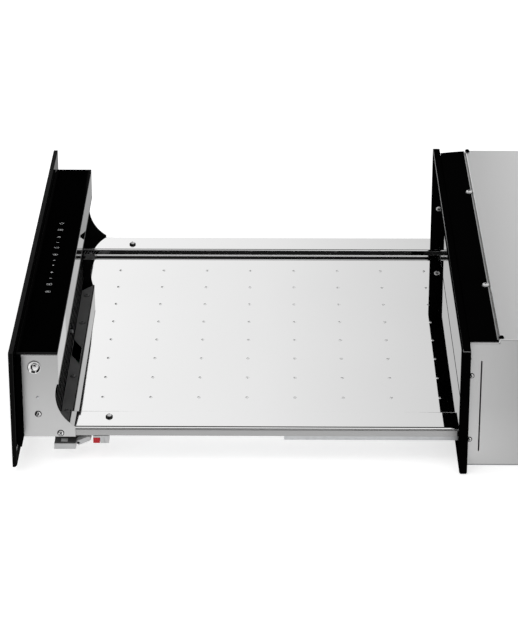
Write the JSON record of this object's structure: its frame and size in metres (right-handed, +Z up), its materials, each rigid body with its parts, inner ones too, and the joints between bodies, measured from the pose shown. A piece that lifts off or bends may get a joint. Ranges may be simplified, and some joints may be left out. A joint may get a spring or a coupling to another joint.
{
  "type": "built-in warming drawer",
  "caption": "Built-in warming drawer with black glass front, front box with fan, polished tray on telescopic slides, and steel cabinet with black front frame",
  "frame": {"origin": "centre of the cabinet's underside, at half of its depth from frame face to back panel", "axes": "-Y is the front, the way the drawer pulls out; +X is the user's right; +Z is up"},
  "size_m": [0.595, 1.0211, 0.1487],
  "materials": {
    "satin_steel": "satin stainless sheet",
    "mirror_steel": "mirror polished stainless sheet",
    "zinc_plate": "bright zinc plate",
    "black_paint": "satin black coat",
    "black_glass": "gloss black glass",
    "grey_panel": "matt dark grey",
    "pale_plastic": "matt light grey",
    "red_plastic": "matt red",
    "circuit_board": "solder resist",
    "black_plastic": "fine matt black"
  },
  "bodies": {
    "cabinet": {"cabinet_base": "zinc_plate", "cabinet_top": "satin_steel", "cabinet_back": "zinc_plate", "front_bezel": "black_paint", "bezel_cover_strip": "black_paint", "latch_body": "black_plastic", "power_board": "circuit_board", "terminal_block": "pale_plastic", "mains_gland": "black_plastic", "right_side_panel": "satin_steel", "left_side_panel": "satin_steel", "right_cover_screw": "zinc_plate", "left_cover_screw": "zinc_plate", "right_corner_bolt": "black_paint", "left_corner_bolt": "black_paint", "right_slide_rail": "zinc_plate", "left_slide_rail": "zinc_plate"},
    "push_latch_plunger": {"latch_plunger": "pale_plastic"},
    "drawer": {"fascia_glass": "black_glass", "fascia_frame": "black_plastic", "box_front_panel": "zinc_plate", "box_bottom_panel": "satin_steel", "box_strip": "satin_steel", "deflector_panel": "grey_panel", "air_grille": "black_plastic", "control_glass": "black_glass", "control_board": "circuit_board", "fan_housing": "black_plastic", "fan_motor": "zinc_plate", "heater_element": "zinc_plate", "temperature_sensor": "zinc_plate", "drawer_tray": "mirror_steel", "rear_wall": "mirror_steel", "right_box_plate": "satin_steel", "right_side_rail": "satin_steel", "right_slide_runner": "zinc_plate", "right_tray_screw": "zinc_plate", "right_inspection_plug": "mirror_steel", "right_coupling_housing": "grey_panel", "right_stop_block": "pale_plastic", "left_box_plate": "satin_steel", "left_side_rail": "satin_steel", "left_slide_runner": "zinc_plate", "left_tray_screw": "zinc_plate", "left_inspection_plug": "mirror_steel", "left_coupling_housing": "grey_panel", "left_stop_block": "pale_plastic"},
    "fan": {"fan_impeller": "black_plastic"},
    "right_lever": {"right_release_lever": "pale_plastic"},
    "right_adjuster": {"right_depth_adjuster": "red_plastic"},
    "right_member": {"right_slide_member": "zinc_plate"},
    "right_lower_cage": {"right_lower_ball_cage": "zinc_plate"},
    "right_upper_cage": {"right_upper_ball_cage": "zinc_plate"},
    "left_lever": {"left_release_lever": "pale_plastic"},
    "left_adjuster": {"left_depth_adjuster": "red_plastic"},
    "left_member": {"left_slide_member": "zinc_plate"},
    "left_lower_cage": {"left_lower_ball_cage": "zinc_plate"},
    "left_upper_cage": {"left_upper_ball_cage": "zinc_plate"}
  },
  "joints": [
    {"name": "drawer_slide", "type": "slide", "parent": "cabinet", "child": "drawer", "axis": [0, 1, 0], "range_m": [0, 0.455]},
    {"name": "push_latch", "type": "slide", "parent": "cabinet", "child": "push_latch_plunger", "axis": [0, 1, 0], "range_m": [0, 0.006], "stiffness_N_per_m": 300, "springref_m": -0.003},
    {"name": "fan_spin", "type": "hinge", "parent": "drawer", "child": "fan", "pos_m": [0, -0.72, 0.0576], "axis": [0, 1, 0], "continuous": true},
    {"name": "right_member_slide", "type": "slide", "parent": "cabinet", "child": "right_member", "axis": [0, 1, 0], "range_m": [0, 0.2275]},
    {"name": "right_lower_cage_slide", "type": "slide", "parent": "cabinet", "child": "right_lower_cage", "axis": [0, 1, 0], "range_m": [0, 0.11375]},
    {"name": "right_upper_cage_slide", "type": "slide", "parent": "cabinet", "child": "right_upper_cage", "axis": [0, 1, 0], "range_m": [0, 0.34125]},
    {"name": "right_lever_squeeze", "type": "hinge", "parent": "drawer", "child": "right_lever", "pos_m": [0.257, -0.6745, 0.0172], "axis": [-1, 0, 0], "range_deg": [0, 14], "stiffness_Nm_per_rad": 0.02, "springref_deg": -5.73},
    {"name": "right_depth_adjust", "type": "slide", "parent": "drawer", "child": "right_adjuster", "axis": [0, 1, 0], "range_m": [-0.0015, 0]},
    {"name": "left_member_slide", "type": "slide", "parent": "cabinet", "child": "left_member", "axis": [0, 1, 0], "range_m": [0, 0.2275]},
    {"name": "left_lower_cage_slide", "type": "slide", "parent": "cabinet", "child": "left_lower_cage", "axis": [0, 1, 0], "range_m": [0, 0.11375]},
    {"name": "left_upper_cage_slide", "type": "slide", "parent": "cabinet", "child": "left_upper_cage", "axis": [0, 1, 0], "range_m": [0, 0.34125]},
    {"name": "left_lever_squeeze", "type": "hinge", "parent": "drawer", "child": "left_lever", "pos_m": [-0.257, -0.6745, 0.0172], "axis": [-1, 0, 0], "range_deg": [0, 14], "stiffness_Nm_per_rad": 0.02, "springref_deg": -5.73},
    {"name": "left_depth_adjust", "type": "slide", "parent": "drawer", "child": "left_adjuster", "axis": [0, 1, 0], "range_m": [-0.0015, 0]}
  ],
  "couplings": [
    {"joint": "right_member_slide", "follows": "drawer_slide", "ratio": 0.5},
    {"joint": "right_lower_cage_slide", "follows": "drawer_slide", "ratio": 0.25},
    {"joint": "right_upper_cage_slide", "follows": "drawer_slide", "ratio": 0.75},
    {"joint": "left_member_slide", "follows": "drawer_slide", "ratio": 0.5},
    {"joint": "left_lower_cage_slide", "follows": "drawer_slide", "ratio": 0.25},
    {"joint": "left_upper_cage_slide", "follows": "drawer_slide", "ratio": 0.75}
  ]
}
